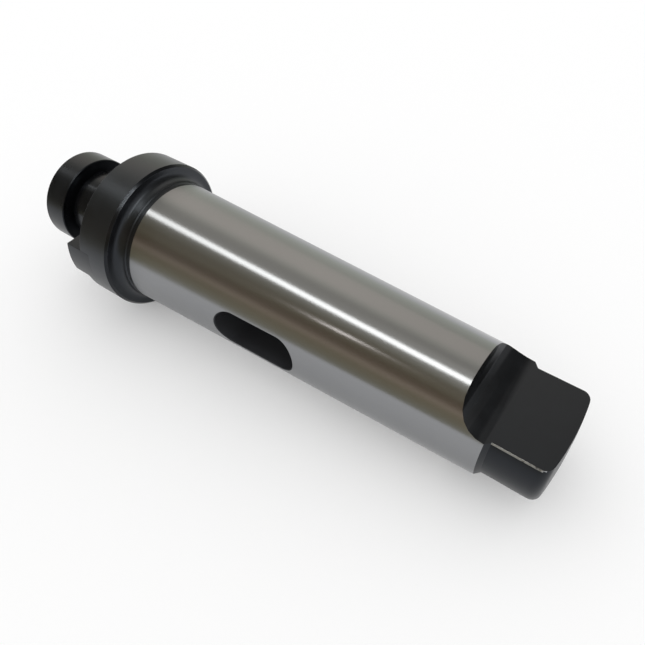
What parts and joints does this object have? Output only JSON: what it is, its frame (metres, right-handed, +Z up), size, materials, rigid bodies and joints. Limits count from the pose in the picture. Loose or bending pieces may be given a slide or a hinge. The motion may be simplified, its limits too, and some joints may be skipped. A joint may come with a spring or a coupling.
{
  "type": "face mill arbor",
  "caption": "Face mill arbor with a number 5 self-holding taper shank, tang, cross slot, keyed flange, pilot and retaining screw.",
  "frame": {"origin": "middle of the taper's gauge plane, on the arbor's axis", "axes": "+X along the axis from the pilot towards the tang, +Z up and square to the tang's flats, +Y along the cross slot and from one drive key to the other"},
  "size_m": [0.2003, 0.055, 0.055],
  "materials": {
    "ground_and_blackened_steel": "ground on the taper, black oxide on the flange, pilot and tang",
    "blackened_steel": "black oxide, satin",
    "blackened_screw_steel": "black oxide, satin, turned"
  },
  "bodies": {
    "arbor": {"arbor_body": "ground_and_blackened_steel", "drive_key_a": "blackened_steel", "drive_key_b": "blackened_steel", "key_screws": "blackened_screw_steel"},
    "retaining_screw": {"retaining_screw": "blackened_screw_steel"}
  },
  "joints": [
    {"name": "retaining_screw_travel", "type": "slide", "parent": "arbor", "child": "retaining_screw", "axis": [-1, 0, 0], "range_m": [-0.0005, 0.029]}
  ]
}
